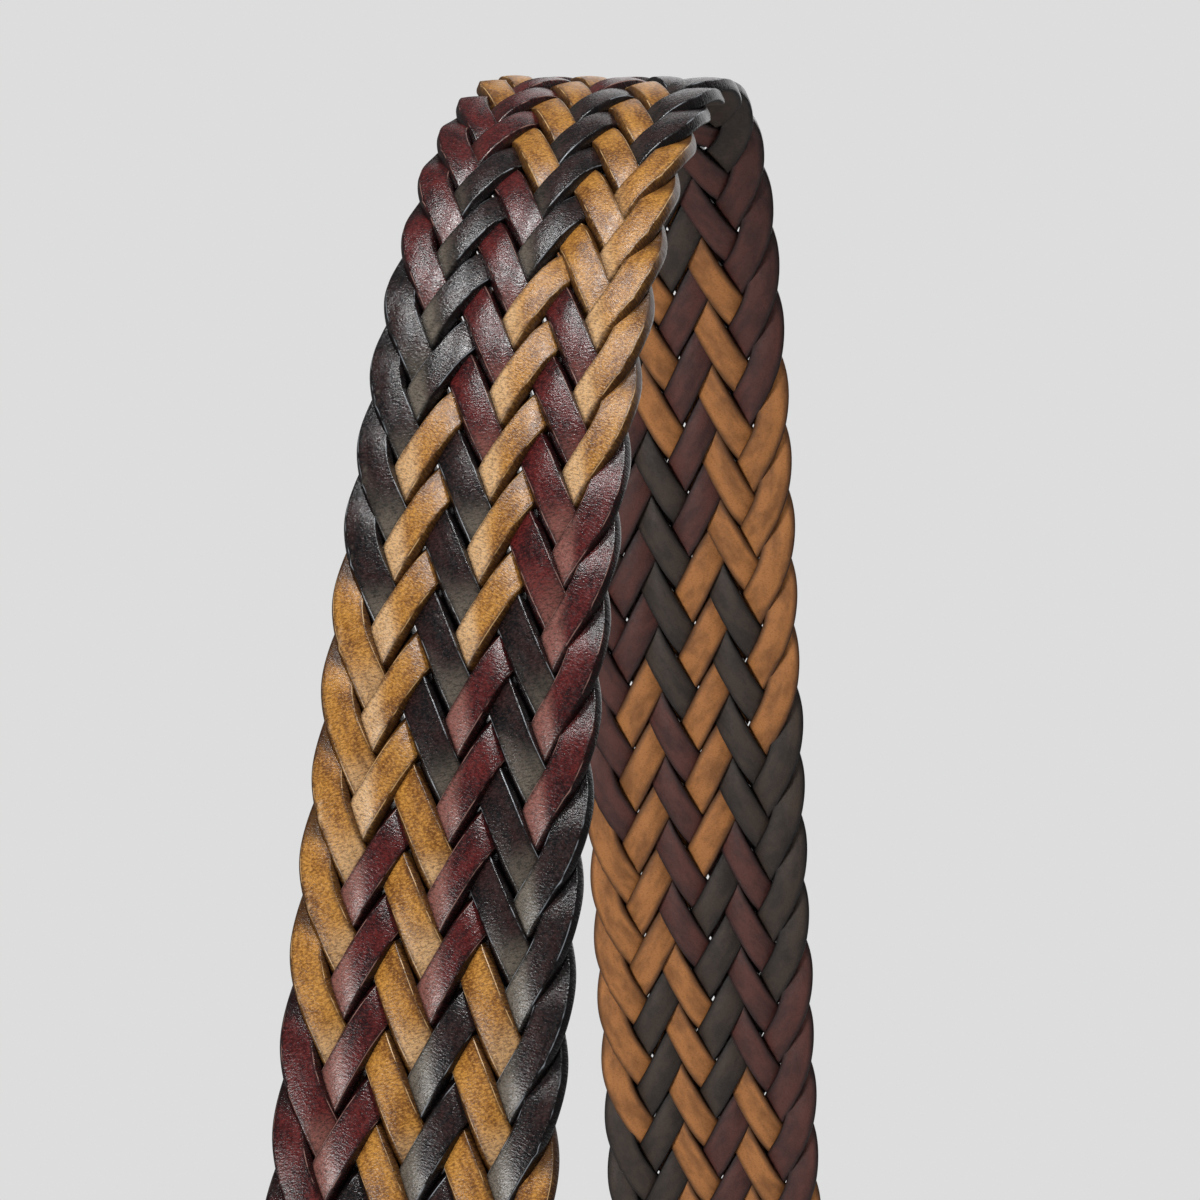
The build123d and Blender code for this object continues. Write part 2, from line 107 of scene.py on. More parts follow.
# ---- Leather ends ----
TAB_HALF_WIDTH = 18.0
TAB_LEATHER = 1.7
TAB_GAP = 4.2
FOLD_HALF_WIDTH = 16.0
FOLD_SHOULDER = 9.0
SLOT_HALF_WIDTH = 2.8
SLOT_LENGTH = 17.0
TIP_GAP = 1.2
TIP_BEND = -TIP_TAB_LENGTH + 28.0  # where the tip's layers start to close
TIP_POINT = 24.0
FLANK = (0.78, 0.58)  # place on the arched flank: share of half width, and of the point's length
LEATHER_ROUNDING = 0.55
CREASE = {"place": 1.25, "width": 0.17, "depth": 0.16}  # line pressed along every edge
CHANNEL = {"place": 2.6, "width": 0.55, "depth": 0.12}  # groove that the stitches lie in
EDGE_STEPS = np.array(  # distances from an edge, at which the leather's face has points
    [0, 0.04, 0.12, 0.25, 0.45, 0.7, 0.95, 1.12, 1.25, 1.38, 1.55, 1.9, 2.3, 2.6, 2.9, 3.4]
)
MIDDLE_COLUMNS = 45
BUCKLE_TAB_STEP = 0.45
TIP_STEP = 0.4
TIP_SAMPLES = 400
PADDING = 0.15  # rise of the leather's middle over its stitched edges
PADDING_OVER_BRAID = 0.25  # and the extra rise where the braid is inside
PADDING_MARGIN = 2.0  # flat strip beside each long edge
BRAID_END_RAMP = (-4.0, 1.0)  # the extra rise falls away here, from the braid's end
EDGE_SHARE = 0.9  # most of the half width that the points near an edge may take
CUTTER_REACH = 9.0
SLOT_ARC_STEPS = 17
SLOT_CORNERS = radians(50)  # sharper corners than this stay sharp

# ---- Stitching ----
STITCH_LENGTH = 2.7
STITCH_PITCH = 3.5
STITCH_RADIUS = 0.36
STITCH_MARGIN = 2.6
STITCH_CORNER = 2.0
STITCH_SLANT = 0.10
STITCH_TAPER = 0.96  # 1 would close the thread at a stitch's ends
STITCH_FLATNESS = 0.8
STITCH_RINGS = 9
STITCH_SIDES = 10
PLIES = {"count": 3, "twist": 5, "depth": 0.06}
STITCH_RISE = 0.18  # of the thread's centre over the leather, at a stitch's middle
STITCH_SINK = 0.42  # fall from there to its ends, inside the holes

# ---- Keepers ----
KEEPER_LEATHER = 1.6
KEEPER_HALF_HEIGHT = 5.0
KEEPER_STRAP_ROOM = 5.0
KEEPER_CORNER = 2.4
KEEPER_STITCH_GAP = 0.6
FIXED_KEEPER = {"at": 27.0, "side_gap": 0.1, "back_gap": 0.45}
SLIDING_KEEPER = {"at": 45.0, "side_gap": 0.4, "back_gap": 0.4}
KEEPER_CROWN = 0.18
KEEPER_STEP = 0.8
CORNER_STEPS = 9


# ---- Strap path ----


def smooth_step(value, low, high):
    """Smooth change from 0 to 1 as value goes from low to high."""
    share = np.clip((value - low) / (high - low), 0, 1)
    return share * share * (3 - 2 * share)


def heading(along):
    """Slope of the belt's centreline below the horizontal, for an array of places."""
    bend = np.where(along >= 0, FRONT_BEND, BACK_BEND)
    slope = LEG_SLOPE * np.tanh(along / bend)
    share = smooth_step(np.abs(along), HANG_START, HANG_END)
    return slope + (np.sign(along) * pi / 2 - slope) * share


def trace_path(step=0.5):
    """Arrays of places along the belt and of y and z there."""
    places = np.arange(-TIP_AT - PATH_MARGIN, HEEL_BAR_AT + PATH_MARGIN + step, step)
    middle = heading((places[1:] + places[:-1]) / 2)
    y = np.concatenate([[0], np.cumsum(-np.cos(middle) * step)])
    z = np.concatenate([[0], np.cumsum(-np.sin(middle) * step)])
    return places, y - np.interp(0, places, y), z - np.interp(0, places, z) + HALF_THICKNESS


PATH = trace_path()


def on_strap(along, across, out):
    """Points in metres: along the belt from the peg, across it, and out from its mid-plane."""
    angle = heading(along)
    y = np.interp(along, PATH[0], PATH[1]) - out * np.sin(angle)
    z = np.interp(along, PATH[0], PATH[2]) + out * np.cos(angle)
    return np.stack([across, y, z], -1) * MM


# ---- Braid geometry ----

SLOPE = 4 * SHARP_HALF_WIDTH / (len(STRANDS) * PITCH)  # of a strand's straight runs
HALF_PERIOD = len(STRANDS) / 2  # pitches from one edge turn to the other edge's


def zigzag(since_turn):
    """Distance across from the turn's edge side, positive at the turn, for 0 to HALF_PERIOD
    pitches since the turn."""
    run = since_turn * PITCH
    left = HALF_PERIOD * PITCH - run
    straight = SHARP_HALF_WIDTH - SLOPE * run
    near = SHARP_HALF_WIDTH - SLOPE * (TURN_LENGTH / 2 + run**2 / (2 * TURN_LENGTH))
    far = -SHARP_HALF_WIDTH + SLOPE * (TURN_LENGTH / 2 + left**2 / (2 * TURN_LENGTH))
    return np.where(run < TURN_LENGTH, near, np.where(left < TURN_LENGTH, far, straight))


def zigzag_inverse(across):
    """Pitches since the turn at which the zigzag is that far across."""
    straight = (SHARP_HALF_WIDTH - across) / SLOPE
    near = np.sqrt(np.maximum(2 * TURN_LENGTH * (straight - TURN_LENGTH / 2), 0))
    other = (SHARP_HALF_WIDTH + across) / SLOPE
    far = HALF_PERIOD * PITCH - np.sqrt(
        np.maximum(2 * TURN_LENGTH * (other - TURN_LENGTH / 2), 0)
    )
    run = np.where(straight < TURN_LENGTH, near, np.where(other < TURN_LENGTH, far, straight))
    return run / PITCH


def float_height(crossings):
    """Height, -1 to 1, after that many crossings since an edge turn: over two, under two. The
    strand rises from below to the top as it rounds an edge."""
    wave = np.cos(pi / 2 * (crossings - FIRST_FLOAT))
    rate = pi / (2 * FIRST_FLOAT)
    after = np.sin(rate * np.clip(crossings, -FIRST_FLOAT, FIRST_FLOAT))
    before = np.sin(rate * np.clip(crossings - 2 * HALF_PERIOD, -FIRST_FLOAT, FIRST_FLOAT))
    wave = np.where(crossings < FIRST_FLOAT, after, wave)
    wave = np.where(crossings > 2 * HALF_PERIOD - FIRST_FLOAT, before, wave)
    return np.tanh(FLOAT_FLATNESS * wave) / tanh(FLOAT_FLATNESS)


def wander(rng, places, size, lengths):
    """Smooth random wave along the belt, about -size to size, as a column."""
    total = np.zeros_like(places)
    for _ in range(UNEVEN_WAVES):
        length = rng.uniform(*lengths)
        total += np.sin(2 * pi * (places / length + rng.uniform()))
    return (size * (total / UNEVEN_WAVES**0.5))[:, None]


def ring_profile():
    """Cross-section of a strand, in millimetres across and up: a flat lace whose grain side
    has steep bevels, crisp edges and a slight crown."""
    half, thick = STRAND_WIDTH / 2, STRAND_THICKNESS / 2
    face, wall = half - BEVEL_WIDTH, thick - BEVEL_DEPTH
    right = [(half, -thick + FLESH_BEVEL), (half, wall - WEAR), (half - 0.4 * WEAR, wall + WEAR)]
    right += [(face + 0.5 * WEAR, thick - WEAR), (face - 0.3 * WEAR, thick - 0.1 * WEAR)]
    right += [(face - 1.5 * WEAR, thick), (0.6 * face, thick + 0.6 * CROWN)]
    right += [(0.3 * face, thick + 0.9 * CROWN)]
    left = [(-x, y) for x, y in reversed(right)]
    under = [(-half + FLESH_BEVEL, -thick), (0.0, -thick), (half - FLESH_BEVEL, -thick)]
    ring = np.array(right + [(0.0, thick + CROWN)] + left + under)
    return ring[:, 0], ring[:, 1]


def crossings_at(centre, since, along, at_along, at_across, leg):
    """Crossings since the last edge turn at places of a strand: by the other strands' slant
    in the straight runs, and square to the strand near the edges."""
    local = at_along / PITCH - (along / PITCH - since)[:, None]
    slanted = local + zigzag_inverse(leg[:, None] * at_across)
    from_turn = np.minimum(centre, 2 * HALF_PERIOD - centre)
    share = smooth_step(from_turn, *EDGE_BLEND)[:, None]
    return centre[:, None] * (1 - share) + slanted * share


def strand_course(number):
    """Places of a strand's centre along and across the belt, pitches since its last edge turn
    and the side of that turn, 1 or -1."""
    along = np.arange(BRAID_START, BRAID_END, STATION_STEP)
    since = (along / PITCH - number - FIRST_TURN) % (2 * HALF_PERIOD)
    leg = np.where(since < HALF_PERIOD, 1.0, -1.0)
    since = since % HALF_PERIOD
    return along, leg * zigzag(since), since, leg


def squeeze_in_ends(along):
    """Share of the weave's height at each place, as a column: less inside the leather ends."""
    buckle_mouth, tip_mouth = BRAID_END - BRAID_IN_TAB, -BRAID_START - BRAID_IN_TAB
    inside = smooth_step(along, buckle_mouth - SQUEEZE_RUN, buckle_mouth)
    inside += smooth_step(-along, tip_mouth - SQUEEZE_RUN, tip_mouth)
    return 1 - (1 - SQUEEZE) * inside[:, None]


def make_strand(name, number, rng):
    """Mesh object of one strand, with attributes for its material. Its mid-surface is worked
    out first, and the cross-section stands square to that."""
    along, across, since, leg = strand_course(number)
    slant = np.gradient(across, along)
    length = np.hypot(1, slant)
    side = np.stack([-slant / length, 1 / length], -1)
    width, shift, lift, roll = (wander(rng, along, *wave) for wave in UNEVEN.values())
    squeeze = squeeze_in_ends(along)
    ring_across, ring_up = ring_profile()

    def middle(offset):
        """Mid-surface points (along, across, out) at each offset to the side, and heights."""
        at_along = along[:, None] + offset * side[:, :1]
        at_across = across[:, None] + offset * side[:, 1:]
        height = float_height(crossings_at(2 * since, since, along, at_along, at_across, leg))
        out = (LAYER_OFFSET * height + roll * offset) * squeeze + lift
        return np.stack([at_along, at_across, out], -1), height

    offset = (1 + width) * ring_across + shift
    points, height = middle(offset)
    sideways = middle(offset + NEARBY)[0] - middle(offset - NEARBY)[0]
    normal = np.cross(np.gradient(points, axis=0), sideways)
    normal /= np.linalg.norm(normal, axis=-1, keepdims=True)
    points += normal * ring_up[None, :, None]

    obj = ring_mesh(f"{name}_look", on_strap(*np.moveaxis(points, -1, 0)))
    run = np.concatenate([[0], np.cumsum(length[:-1] * STATION_STEP)])
    add_attribute(obj, "across", spread(ring_across / STRAND_WIDTH * 2, height))
    add_attribute(obj, "up", spread(ring_up / STRAND_THICKNESS * 2, height))
    add_attribute(obj, "run", spread((run + STRAND_APART * number)[:, None], height))
    add_attribute(obj, "lie", offset)
    add_attribute(obj, "height", height)
    add_attribute(obj, "lean", lean_towards_buckle(along, ring_across, normal))
    return obj


def spread(values, like):
    """Values repeated to the shape of another array."""
    return values * np.ones_like(like)


def lean_towards_buckle(along, ring_across, normal):
    """How far the grain side faces down the belt towards the buckle, less near the peg."""
    tilt = LEAN["down"] * normal[..., 0] - LEAN["across"] * normal[..., 1]
    tilt = tilt - LEAN["edge"] * ring_across / STRAND_WIDTH * 2
    near_peg = smooth_step(-np.abs(along), -LEAN_AT_PEG["from"], -LEAN_AT_PEG["to"])
    return tilt * (1 - LEAN_AT_PEG["loss"] * near_peg)[:, None]


# ---- Mesh helpers ----


def tube_faces(rings, count, first=0):
    """Faces of a closed tube: quads between its rings of points, and a face at each end."""
    index = np.arange(rings * count).reshape(rings, count) + first
    a, b = index[:-1], index[1:]
    quads = np.stack([a, np.roll(a, -1, 1), np.roll(b, -1, 1), b], -1).reshape(-1, 4)
    return quads.tolist() + [index[0][::-1].tolist(), index[-1].tolist()]


def new_piece(name, points, faces):
    """Mesh object from points in metres and faces of point numbers."""
    mesh = bpy.data.meshes.new(name)
    mesh.from_pydata(np.asarray(points).tolist(), [], [list(face) for face in faces])
    obj = bpy.data.objects.new(name, mesh)
    bpy.context.scene.collection.objects.link(obj)
    return obj


def ring_mesh(name, points):
    """Closed tube through rings of points, as a smooth-shaded object."""
    obj = new_piece(name, points.reshape(-1, 3), tube_faces(*points.shape[:2]))
    obj.data.polygons.foreach_set("use_smooth", [True] * len(obj.data.polygons))
    obj.data.update()
    return obj


def add_attribute(obj, name, values):
    """Float attribute on the mesh's points."""
    layer = obj.data.attributes.new(name, "FLOAT", "POINT")
    layer.data.foreach_set("value", np.asarray(values, np.float32).ravel())


def weld(mesh):
    """Joins points that fall together, turns faces outwards and shades the mesh smooth."""
    edit = bmesh.new()
    edit.from_mesh(mesh)
    bmesh.ops.remove_doubles(edit, verts=edit.verts, dist=0.001 * MM)
    bmesh.ops.recalc_face_normals(edit, faces=edit.faces)
    for face in edit.faces:
        face.smooth = True
    edit.to_mesh(mesh)
    edit.free()


def finish_piece(obj, body, node, material):
    """Material and body of a piece that is shown in place of a CAD node, which is hidden."""
    obj.data.materials.append(material)
    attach(obj, body)
    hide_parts(node)


# ---- Material helpers ----


class Nodes:
    """Short way to write a material's node tree."""

    def __init__(self, name):
        self.material = bpy.data.materials.new(name)
        self.material.use_nodes = True
        self.tree = self.material.node_tree
        self.shader = self.tree.nodes["Principled BSDF"]

    def new(self, kind, inputs=(), **settings):
        """Adds a node with its settings, and with constants or links at its inputs."""
        node = self.tree.nodes.new(kind)
        for key, value in settings.items():
            setattr(node, key, value)
        for socket, value in dict(inputs).items():
            self.set(node.inputs[socket], value)
        return node

    def set(self, socket, value):
        """Gives an input a constant, or a link where the value is another node's output."""
        if isinstance(value, bpy.types.NodeSocket):
            self.tree.links.new(value, socket)
        else:
            socket.default_value = value

    def attribute(self, name):
        return self.new("ShaderNodeAttribute", attribute_name=name).outputs["Fac"]

    def math(self, operation, a, b=0.0):
        return self.new("ShaderNodeMath", {0: a, 1: b}, operation=operation).outputs[0]

    def span(self, value, low, high, to_low=0.0, to_high=1.0):
        """Smooth change from to_low to to_high as value goes from low to high."""
        ends = {"Value": value, "From Min": low, "From Max": high, "To Min": to_low, "To Max": to_high}
        node = self.new("ShaderNodeMapRange", ends, interpolation_type="SMOOTHSTEP")
        return node.outputs["Result"]

    def object_place(self):
        return self.new("ShaderNodeTexCoord").outputs["Object"]

    def vector(self, x, y, z):
        return self.new("ShaderNodeCombineXYZ", {"X": x, "Y": y, "Z": z}).outputs[0]

    def stretched(self, vector, factors):
        ends = {0: vector, 1: factors}
        return self.new("ShaderNodeVectorMath", ends, operation="MULTIPLY").outputs[0]

    def noise(self, vector, scale, detail=2.0, roughness=0.5):
        ends = {"Vector": vector, "Scale": scale, "Detail": detail, "Roughness": roughness}
        return self.new("ShaderNodeTexNoise", ends).outputs["Fac"]

    def mix(self, share, a, b):
        ends = {"Fac": share, "Color1": a, "Color2": b}
        return self.new("ShaderNodeMixRGB", ends).outputs["Color"]

    def stain(self, tone, other, value, low, high, most=1.0):
        """Tone mixed with another, up to a share of most as value goes from low to high."""
        return self.mix(self.span(value, low, high, 0.0, most), tone, other)

    def surface(self, tone, roughness, relief, depth, strength=1.0):
        """Colour and roughness of the shader, and a relief that is depth metres deep."""
        self.set(self.shader.inputs["Base Color"], tone)
        self.set(self.shader.inputs["Roughness"], roughness)
        ends = {"Height": relief, "Distance": depth, "Strength": strength}
        self.set(self.shader.inputs["Normal"], self.new("ShaderNodeBump", ends).outputs["Normal"])


def colour(red, green, blue):
    """Linear colour from 0 to 255 display values."""
    values = []
    for value in (red, green, blue):
        value /= 255
        values.append(value / 12.92 if value <= 0.04045 else ((value + 0.055) / 1.055) ** 2.4)
    return (*values, 1.0)


def strand_patterns(nodes):
    """Attributes of a strand's points, and the noise patterns that follow the strand."""
    names = ("run", "lie", "across", "up", "height", "lean")
    at = {name: nodes.attribute(name) for name in names}
    at["far_out"] = nodes.math("ABSOLUTE", at["across"])
    at["is_flesh"] = nodes.span(at["up"], -0.6, -0.9)
    place = nodes.vector(at["run"], at["lie"], 0.0)
    patterns = {  # stretch along and across, scale, detail, roughness
        "clouds": (0.5, 1.0, 0.38, 3, 0.6),
        "fine": (1.6, 1.0, 2.3, 3, 0.75),
        "wrinkles": (3.2, 0.7, 1.4, 3, 0.7),
        "highlight_patches": (0.4, 1.0, 0.9, 2, 0.6),
        "sheen": (1.0, 1.0, 1.3, 3, 0.6),
        "creases": (2.4, 1.0, 1.6, 2, 0.6),
        "grain": (1.0, 1.0, 3.6, 2, 0.6),
    }
    for name, (along, across, scale, detail, roughness) in patterns.items():
        stretched = nodes.stretched(place, (along, across, 1.0))
        at[name] = nodes.noise(stretched, scale, detail, roughness)
    return at


def grain_tone(nodes, at, dye):
    """Cloudy, speckled and streaked grain side, with a painted sheen that turns it paler where it
    leans down.
    """
    tone = nodes.stain(dye["base"], dye["light"], at["clouds"], 0.35, 0.65, 0.6)
    tone = nodes.stain(tone, dye["dark"], at["clouds"], 0.52, 0.32, 0.6)
    # painted sheen: the grain side is mixed towards a pale colour where it faces down the belt
    sheen_share = nodes.span(at["lean"], 0.01, 0.12)
    sheen_share = nodes.math("MULTIPLY", sheen_share, nodes.span(at["up"], 0.5, 0.9))
    sheen_share = nodes.math("MULTIPLY", sheen_share, nodes.span(at["clouds"], 0.25, 0.55, 0.6, 1.0))
    tone = nodes.mix(sheen_share, tone, dye["rubbed"])
    pale = nodes.mix(0.1, dye["light"], dye["rubbed"])
    tone = nodes.stain(tone, dye["dark"], at["fine"], 0.49, 0.57, 0.5)
    tone = nodes.stain(tone, pale, at["fine"], 0.49, 0.41, 0.5)
    return nodes.stain(tone, dye["dark"], at["wrinkles"], 0.50, 0.64, 0.5)


def edge_tone(nodes, at, dye, tone):
    """Dark burnished edges, a painted highlight along each shoulder, and painted shade low in the
    weave and on the side walls.
    """
    patchy = nodes.span(at["fine"], 0.3, 0.6, 0.5, 0.85)
    rim = nodes.math("MULTIPLY", nodes.span(at["far_out"], 0.55, 0.82), patchy)
    tone = nodes.mix(rim, tone, dye["edge"])
    # painted highlight: a thin pale line along each shoulder of the grain side, broken into patches
    from_shoulder = nodes.math("SUBTRACT", at["far_out"], 1 - 2 * BEVEL_WIDTH / STRAND_WIDTH)
    highlight_share = nodes.span(nodes.math("ABSOLUTE", from_shoulder), 0.035, 0.0)
    highlight_share = nodes.math("MULTIPLY", highlight_share, nodes.span(at["highlight_patches"], 0.44, 0.6, 0.0, 0.85))
    tone = nodes.mix(highlight_share, tone, dye["wear"])
    # painted shade: darker where the strand dives under its neighbours
    tone = nodes.stain(tone, dye["edge"], at["height"], 0.35, -0.4, 0.8)
    # painted shade: the bevels and side walls darker, down in the gaps between strands
    return nodes.stain(tone, dye["edge"], at["up"], 0.75, 0.1, 0.55)


def flesh_tone(nodes, at, dye):
    """Matt, patchy flesh side with dark edges."""
    tone = nodes.stain(dye["flesh"], dye["dark"], at["clouds"], 0.35, 0.7, 0.55)
    tone = nodes.stain(tone, dye["dark"], at["fine"], 0.5, 0.66, 0.35)
    return nodes.stain(tone, dye["edge"], at["far_out"], 0.6, 0.95, 0.75)


def strand_leather(name, gloss, **dyes):
    """Dyed lace leather, with a glossy grain side and a matt flesh side."""
    nodes = Nodes(name)
    at = strand_patterns(nodes)
    dye = {part: colour(*values) for part, values in dyes.items()}
    tone = edge_tone(nodes, at, dye, grain_tone(nodes, at, dye))
    tone = nodes.mix(at["is_flesh"], tone, flesh_tone(nodes, at, dye))

    rough = nodes.span(at["sheen"], 0.3, 0.7, gloss, gloss + 0.12)
    rough = nodes.math("ADD", rough, nodes.math("MULTIPLY", at["is_flesh"], 0.35))

    relief = nodes.math("ADD", at["creases"], nodes.math("MULTIPLY", at["grain"], 0.7))
    bent = nodes.span(nodes.math("ABSOLUTE", at["lean"]), 0.06, 0.24, 0.0, 0.6)
    relief = nodes.math("ADD", relief, nodes.math("MULTIPLY", at["wrinkles"], bent))
    nodes.surface(tone, rough, relief, 0.06 * MM)
    return nodes.material


# Of each leather's colours, the pale shoulder line is a painted highlight, the pale colour of faces
# that lean down a painted sheen, and the edge colour also serves as painted shade low in the weave.
LEATHERS = {
    "tan": strand_leather(
        "tan_leather", 0.28, light=(206, 148, 66), base=(146, 92, 30), dark=(82, 46, 14),
        edge=(58, 32, 14), wear=(226, 184, 130), rubbed=(222, 182, 136), flesh=(192, 126, 68),
    ),
    "burgundy": strand_leather(
        "burgundy_leather", 0.21, light=(106, 34, 32), base=(62, 15, 18), dark=(20, 7, 10),
        edge=(14, 6, 8), wear=(168, 128, 118), rubbed=(150, 100, 90), flesh=(96, 52, 44),
    ),
    "black": strand_leather(
        "black_leather", 0.21, light=(58, 32, 31), base=(15, 12, 15), dark=(5, 5, 7),
        edge=(6, 5, 6), wear=(160, 166, 172), rubbed=(120, 112, 100), flesh=(68, 54, 44),
    ),
}


def calf_leather():
    """Smooth dark calf with fine pores, painted edges and a darker line in the crease."""
    nodes = Nodes("tab_leather")
    place = nodes.object_place()
    edge = nodes.attribute("edge")
    cells = nodes.new("ShaderNodeTexVoronoi", {"Vector": place, "Scale": 1 / (0.7 * MM)})
    clouds = nodes.noise(place, 1 / (9 * MM), 3, 0.6)
    fine = nodes.noise(place, 1 / (0.8 * MM), 3, 0.7)
    from_crease = nodes.math("ABSOLUTE", nodes.math("SUBTRACT", edge, CREASE["place"]))
    tone = nodes.stain(colour(58, 24, 20), colour(88, 38, 30), clouds, 0.3, 0.7)
    tone = nodes.stain(tone, colour(30, 13, 12), fine, 0.5, 0.7, 0.5)
    tone = nodes.stain(tone, colour(22, 12, 11), edge, 0.9, 0.2, 0.85)
    tone = nodes.stain(tone, colour(20, 9, 9), from_crease, 0.26, 0.0, 0.6)
    pores = nodes.math("MULTIPLY", nodes.span(cells.outputs["Distance"], 0.0, 0.5), 0.35)
    relief = nodes.math("ADD", pores, nodes.math("MULTIPLY", fine, 0.4))
    nodes.surface(tone, nodes.span(fine, 0.3, 0.7, 0.30, 0.44), relief, 0.08 * MM)
    return nodes.material


def waxed_thread():
    """Dark tan thread with a fine twist."""
    nodes = Nodes("waxed_thread")
    place = nodes.object_place()
    plies = nodes.new("ShaderNodeTexWave", {"Vector": place, "Scale": 0.32 / MM, "Distortion": 1.5})
    plies.bands_direction = "DIAGONAL"
    twist = plies.outputs["Fac"]
    tone = nodes.mix(twist, colour(132, 84, 46), colour(186, 132, 82))
    tone = nodes.stain(tone, colour(96, 58, 32), nodes.noise(place, 0.6 / MM), 0.4, 0.7, 0.35)
    nodes.surface(tone, 0.55, twist, 0.08 * MM, 0.8)
    return nodes.material


def brushed_metal(name, light, dark, tarnish, rough, stretch):
    """Brushed metal: fine lines and cloudy tarnish."""
    nodes = Nodes(name)
    place = nodes.object_place()
    brushing = nodes.noise(nodes.stretched(place, stretch), 1 / (0.5 * MM), 4, 0.7)
    clouds = nodes.noise(place, 1 / (7 * MM), 4, 0.65)
    tone = nodes.mix(brushing, colour(*light), colour(*dark))
    tone = nodes.stain(tone, colour(*tarnish), clouds, 0.5, 0.75, 0.6)
    dull = nodes.span(clouds, 0.35, 0.75, rough, rough + 0.2)
    dull = nodes.math("ADD", dull, nodes.math("MULTIPLY", brushing, 0.12))
    nodes.shader.inputs["Metallic"].default_value = 1.0
    nodes.surface(tone, dull, brushing, 0.012 * MM)
    return nodes.material


def leatherboard():
    """Raw brown board of pressed fibres."""
    nodes = Nodes("leatherboard")
    place = nodes.object_place()
    fibres = nodes.noise(place, 1 / (0.5 * MM), 5, 0.75)
    layers = nodes.noise(place, 1 / (4 * MM), 2, 0.5)
    tone = nodes.stain(colour(46, 28, 20), colour(84, 56, 40), fibres, 0.35, 0.65)
    tone = nodes.stain(tone, colour(38, 22, 17), layers, 0.4, 0.7, 0.5)
    nodes.surface(tone, 0.85, fibres, 0.12 * MM)
    return nodes.material


LOOKS = {
    "tab": calf_leather(),
    "thread": waxed_thread(),
    "brass": brushed_metal(
        "antique_brass", (206, 176, 120), (160, 128, 76), (92, 70, 42), 0.24, (0.12, 1, 1)
    ),
    "steel": brushed_metal(
        "steel", (190, 190, 188), (140, 140, 140), (92, 90, 88), 0.26, (0.1, 1, 1)
    ),
    "board": leatherboard(),
}
CAD_LOOKS = {
    "buckle_frame": "brass",
    "prong": "brass",
    "heel_bar": "steel",
    "fixed_keeper_staple": "steel",
    "sliding_keeper_staple": "steel",
    "buckle_tab_filler": "board",
    "tip_tab_filler": "board",
}


def paint_cad_nodes():
    """Materials for the CAD nodes that are shown as they are."""
    for name, look in CAD_LOOKS.items():
        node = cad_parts[name]
        node.data.materials.clear()
        node.data.materials.append(LOOKS[look])


def make_braid():
    """The thirteen strands, each in place of its CAD strand."""
    rng = np.random.default_rng(SEED)
    counts = {}
    for number, shade in enumerate(STRANDS):
        counts[shade] = counts.get(shade, 0) + 1
        name = f"{shade}_strand_{counts[shade]}"
        strand = make_strand(name, number, rng)
        finish_piece(strand, "strap", name, LEATHERS[shade])


# ---- Leather ends: local x across, y out from the face, z down towards the end ----


def at_buckle(x, y, z):
    """Points in metres from local places at the heel bar, on the leg towards -Y."""
    bar = on_strap(HEEL_BAR_AT, 0.0, 0.0)
    return np.stack(np.broadcast_arrays(x, -y, -z), -1) * MM + bar


def at_tip(x, y, z):
    """Points in metres from local places at the belt's tip, on the leg towards +Y."""
    tip = on_strap(-TIP_AT, 0.0, 0.0)
    return np.stack(np.broadcast_arrays(-x, y, -z), -1) * MM + tip


def eased(start, stop, step, fine=EDGE_STEPS):
    """Places from start to stop, closer together near both ends."""
    low, high = start + fine, stop - fine[::-1]
    count = max(int((high[0] - low[-1]) / step), 2)
    return np.concatenate([low[:-1], np.linspace(low[-1], high[0], count), high[1:]])


def groove(edge, shape):
    """Depth of a groove that follows an edge."""
    return shape["depth"] * np.exp(-(((edge - shape["place"]) / shape["width"]) ** 2))


def rounded(edge):
    """Drop of a leather face near its rounded edge."""
    near = LEATHER_ROUNDING - np.minimum(edge, LEATHER_ROUNDING)
    return LEATHER_ROUNDING - np.sqrt(LEATHER_ROUNDING**2 - near**2)


def columns_across(half, slope):
    """Places across each row, with the columns near the edge at even distances from it."""
    stretch = np.hypot(1, slope)
    reach = EDGE_STEPS[-1] * stretch
    pinch = np.minimum(1, EDGE_SHARE * half / reach)
    sides = half - EDGE_STEPS * stretch * pinch
    centre = (half - reach * pinch) * np.linspace(-1, 1, MIDDLE_COLUMNS)[1:-1]
    return np.concatenate([-sides, centre, sides[:, ::-1]], -1)


def leather_slab(name, places, half_width, distance, place):
    """Closed piece of leather with rounded, creased edges. Places run along it, half_width
    and distance give its outline, and place(x, s, h) puts a point at height h in the model."""
    half = half_width(places)
    x = columns_across(half[:, None], np.gradient(half, places)[:, None])
    s = places[:, None] + 0 * x
    edge = np.maximum(distance(x, s), 0)
    back = TAB_LEATHER / 2 - rounded(edge)
    front = back - groove(edge, CREASE) - groove(edge, CHANNEL)
    rows, columns = s.shape
    points = np.concatenate([place(x, s, h).reshape(-1, 3) for h in (front, -back)])
    index = np.arange(rows * columns).reshape(rows, columns)
    quads = np.stack([index[:-1, :-1], index[1:, :-1], index[1:, 1:], index[:-1, 1:]], -1)
    quads = quads.reshape(-1, 4)
    under = quads[:, ::-1] + rows * columns
    rim = np.concatenate([index[:, 0], index[-1, 1:], index[-2::-1, -1], index[0, -2:0:-1]])
    after = np.roll(rim, -1)
    wall = np.stack([after, rim, rim + rows * columns, after + rows * columns], -1)
    obj = new_piece(name, points, np.concatenate([quads, under, wall]))
    add_attribute(obj, "edge", np.concatenate([edge.ravel(), edge.ravel()]))
    weld(obj.data)
    return obj


def padding(x, z, braid_end):
    """Rise of the leather over the braid inside it, and its fall to the stitched edges."""
    low, high = BRAID_END_RAMP
    inside = 1 - smooth_step(z, braid_end + low, braid_end + high)
    share = np.clip(np.abs(x) / (TAB_HALF_WIDTH - PADDING_MARGIN), 0, 1)
    return (PADDING + PADDING_OVER_BRAID * inside) * (1 - share**4)


